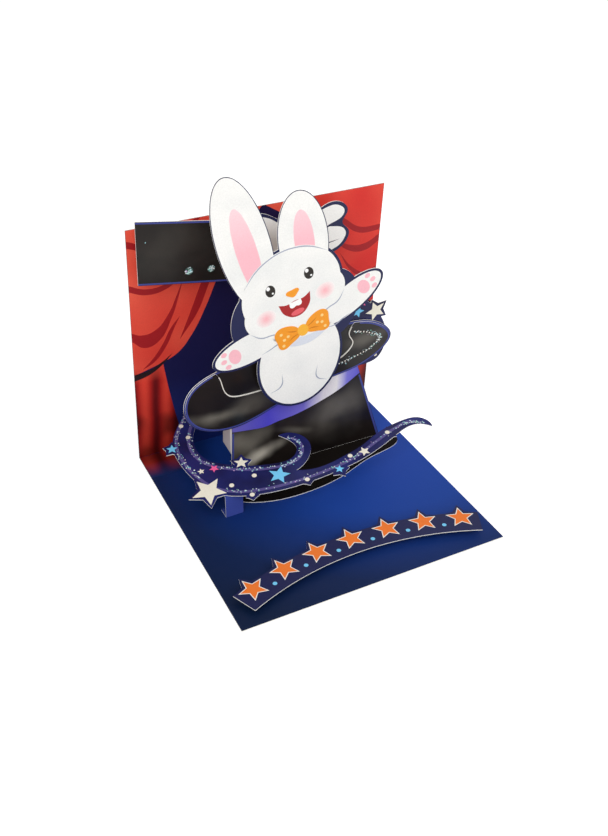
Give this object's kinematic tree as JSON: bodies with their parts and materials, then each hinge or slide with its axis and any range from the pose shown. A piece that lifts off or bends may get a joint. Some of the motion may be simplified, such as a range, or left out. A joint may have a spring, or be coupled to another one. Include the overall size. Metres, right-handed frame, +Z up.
{
  "type": "pop-up card",
  "caption": "Square card standing open, with a folded top hat, a rabbit, a starry swirl, a sleeved arm and an arched banner as die-cut layers on folded strips.",
  "frame": {"origin": "middle of the floor panel's underside", "axes": "+X to the reader's right along the fold, +Y from the front edge to the fold, +Z up from the table"},
  "size_m": [0.1306, 0.1307, 0.1646],
  "materials": {
    "card_board": "printed and gloss coated",
    "hat_sheet": "printed and gloss coated",
    "rabbit_sheet": "printed, satin",
    "star_sheet": "printed, with glitter",
    "leg_strip": "printed, satin",
    "arm_sheet": "printed and gloss coated",
    "banner_sheet": "printed, satin",
    "plain_strip": "uncoated"
  },
  "bodies": {
    "root": {"card": "card_board", "hat_crown": "hat_sheet", "hat_back_brim": "hat_sheet", "hat_front_lip": "hat_sheet", "hat_brace_left": "plain_strip", "hat_brace_right": "plain_strip", "rabbit": "rabbit_sheet", "rabbit_riser": "plain_strip", "swirl": "star_sheet", "swirl_leg": "leg_strip", "star_spray": "star_sheet", "arm": "arm_sheet", "arm_riser_left": "plain_strip", "arm_riser_right": "plain_strip", "banner": "banner_sheet", "banner_riser_left": "plain_strip", "banner_riser_right": "plain_strip"}
  },
  "joints": []
}
